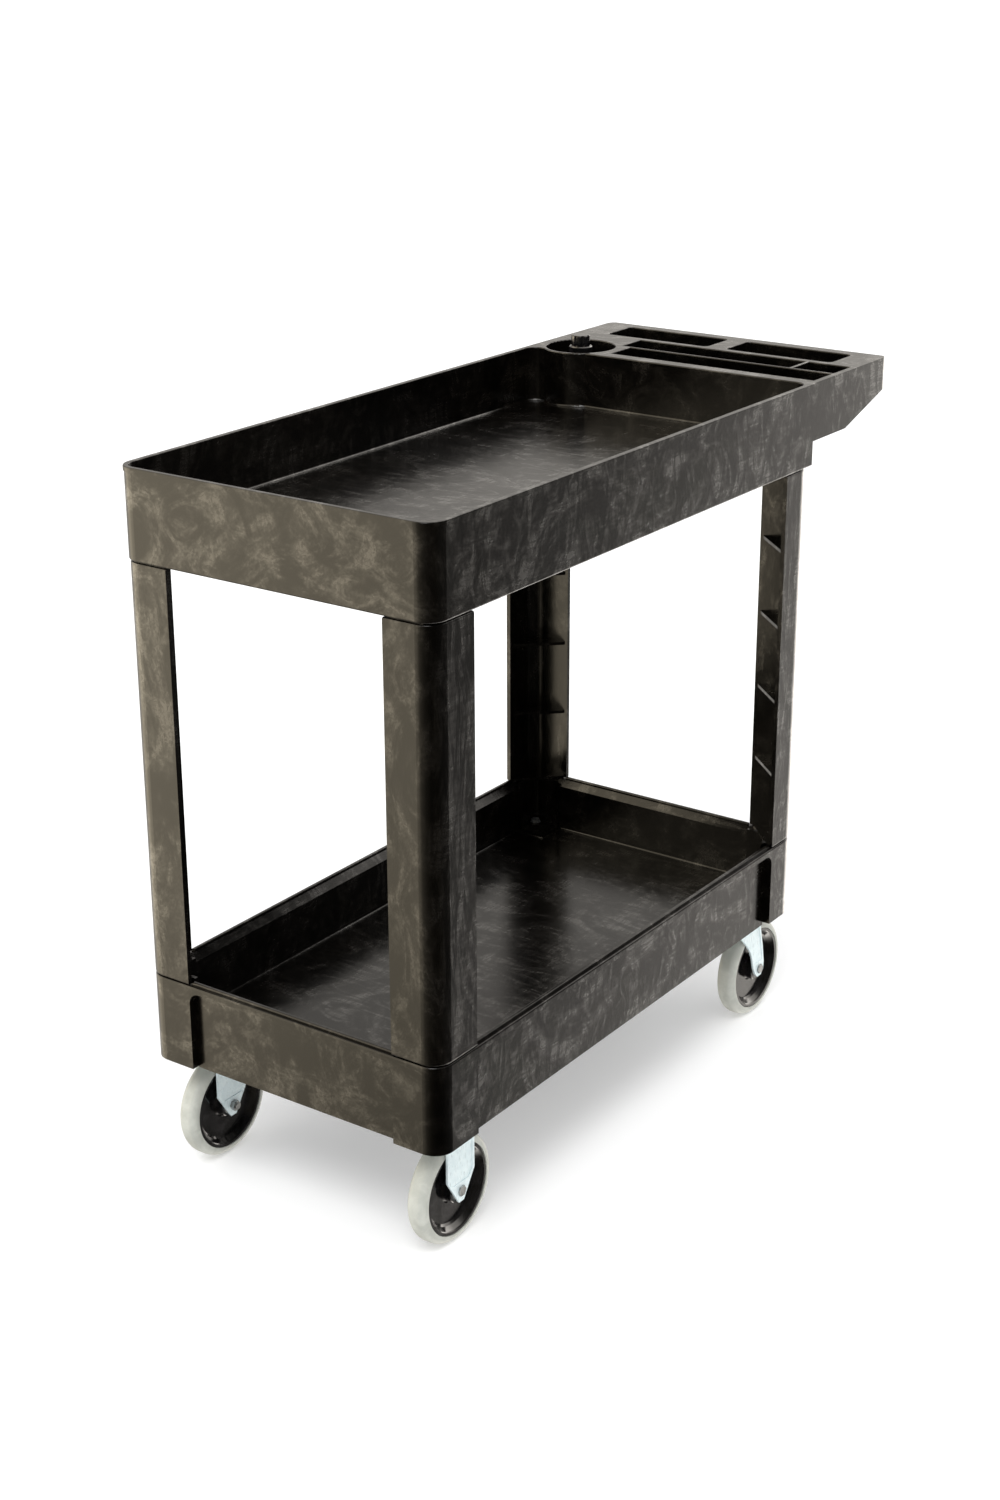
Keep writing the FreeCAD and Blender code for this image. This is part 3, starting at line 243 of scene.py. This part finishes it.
def foam_by_node():
    """One foam material for each moulding, so that no two have the same marks."""
    foam = {
        "upper_tray": foam_plastic("foam_upper_tray", flow=(0, 0, math.radians(35))),
        "lower_tray": foam_plastic("foam_lower_tray", shift=(2.3, 1.1, 0.4),
                                   flow=(0, 0, math.radians(-30))),
    }
    for number, name in enumerate(("front_left", "front_right", "rear_left", "rear_right")):
        foam["leg_" + name] = foam_plastic("foam_leg_" + name, shift=(number * 1.7, 0.6, 0.2),
                                           stretch=LEG_STRETCH)
    return foam


def dress_cad_nodes():
    """Give every CAD node its material."""
    foam = foam_by_node()
    by_slot = {
        "black_plastic": smooth_black("gloss_black"),
        "bearing_plastic": plain_plastic("bearing_plastic", (0.17, 0.17, 0.16),
                                         (0.26, 0.26, 0.25), 0.5),
        "grey_tyre": grey_rubber("grey_rubber"),
        "zinc_steel": zinc_plate("zinc_plate", (0.72, 0.84, 0.87), (0.82, 0.93, 0.95), 0.25),
        "bright_steel": zinc_plate("bright_steel", (0.66, 0.66, 0.68), (0.78, 0.78, 0.80), 0.9),
    }
    fasteners = zinc_plate("fastener_steel", (0.28, 0.29, 0.29), (0.45, 0.46, 0.46), 0.9)
    for part in frame["record"]["subparts"]:
        node = part["node"]
        slots = NODES[node].data.materials
        slots.clear()
        if node.endswith(FASTENER_ENDINGS):
            slots.append(fasteners)
        else:
            slots.append(foam.get(node) or by_slot[part["material_slot"]])


# ---------------------------------------------------------------- studio
FLOOR_SIZE = 90
FLOOR_WHITE = 0.76
FLOOR_GLOW = 0.29
KEY_FROM = Vector((-0.55, -0.20, 1.0))
KEY_STRENGTH = 1.5
KEY_SPREAD = math.radians(30)

# Levels that glossy plastic mirrors, divided by MIRROR_STRENGTH, over the mirrored ray's
# part along Y: 0 is a ray towards -Y, and 1 a ray towards +Y.
MIRROR_STRENGTH = 4.0
LIT_SIDE = [(0.20, 0.01), (0.40, 0.05), (0.60, 0.16), (0.72, 0.50), (0.78, 0.64), (0.85, 0.89)]
FAR_SIDE = [(0.08, 0.02), (0.20, 0.02), (0.235, 0.05), (0.26, 0.12), (0.29, 0.40),
            (0.36, 0.50), (0.41, 0.92), (0.52, 0.92), (0.62, 0.24), (0.80, 0.20)]
LIT_TINT = (1.06, 0.93, 0.70)
FAR_TINT = (1.0, 0.95, 0.88)


def mirrored_studio(nodes):
    """What glossy plastic sees of the studio: a warm lit side at -X, a paler side at +X."""
    ray = nodes.add("ShaderNodeSeparateXYZ")
    nodes.link(nodes.add("ShaderNodeTexCoord").outputs["Generated"], ray.inputs[0])
    along_y = nodes.math("MULTIPLY_ADD", ray.outputs["Y"], 0.5, 0.5)
    dim_below = nodes.remap(ray.outputs["Z"], -0.58, -0.34, 0.38, 1.0)
    warm = nodes.mix(dim_below, (0.0, 0.0, 0.0), LIT_TINT)
    lit_side = nodes.tint(nodes.levels(along_y, LIT_SIDE), warm)
    far_side = nodes.tint(nodes.levels(along_y, FAR_SIDE), FAR_TINT)
    return nodes.mix(nodes.remap(ray.outputs["X"], -0.35, 0.25), lit_side, far_side)


def make_floor():
    """A plain pale floor. Mirrored rays pass it, and see the studio of make_world."""
    bpy.ops.mesh.primitive_plane_add(size=FLOOR_SIZE)
    floor = bpy.context.object
    floor.name = "floor"
    floor.visible_glossy = False
    shader = Shader("white_floor")
    shader.set(Base_Color=(FLOOR_WHITE,) * 3, Roughness=0.9, Specular_IOR_Level=0.1,
               Emission_Color=(1.0, 1.0, 1.0), Emission_Strength=FLOOR_GLOW)
    floor.data.materials.append(shader.material)


def make_world():
    """A plain white backdrop, except in reflections, which see the mirrored studio."""
    world = bpy.data.worlds.new("studio")
    bpy.context.scene.world = world
    world.use_nodes = True
    nodes = Nodes(world.node_tree)
    chosen = nodes.add("ShaderNodeMixShader")
    nodes.link(nodes.add("ShaderNodeLightPath").outputs["Is Glossy Ray"], chosen.inputs[0])
    for slot, colour, strength in ((1, (1.0, 1.0, 1.0), 1.0),
                                   (2, mirrored_studio(nodes), MIRROR_STRENGTH)):
        backdrop = nodes.add("ShaderNodeBackground")
        nodes.feed(backdrop.inputs["Color"], colour)
        nodes.feed(backdrop.inputs["Strength"], strength)
        nodes.link(backdrop.outputs[0], chosen.inputs[slot])
    nodes.link(chosen.outputs[0], nodes.add("ShaderNodeOutputWorld").inputs["Surface"])


def make_key():
    """A soft key light, and the plain view transform that keeps the backdrop white."""
    sun = bpy.data.lights.new("key", "SUN")
    sun.energy = KEY_STRENGTH
    sun.angle = KEY_SPREAD
    lamp = bpy.data.objects.new("key", sun)
    lamp.rotation_euler = KEY_FROM.to_track_quat("Z", "Y").to_euler()
    bpy.context.scene.collection.objects.link(lamp)
    bpy.context.scene.view_settings.view_transform = "Standard"


make_camera()
dress_cad_nodes()
make_floor()
make_world()
make_key()
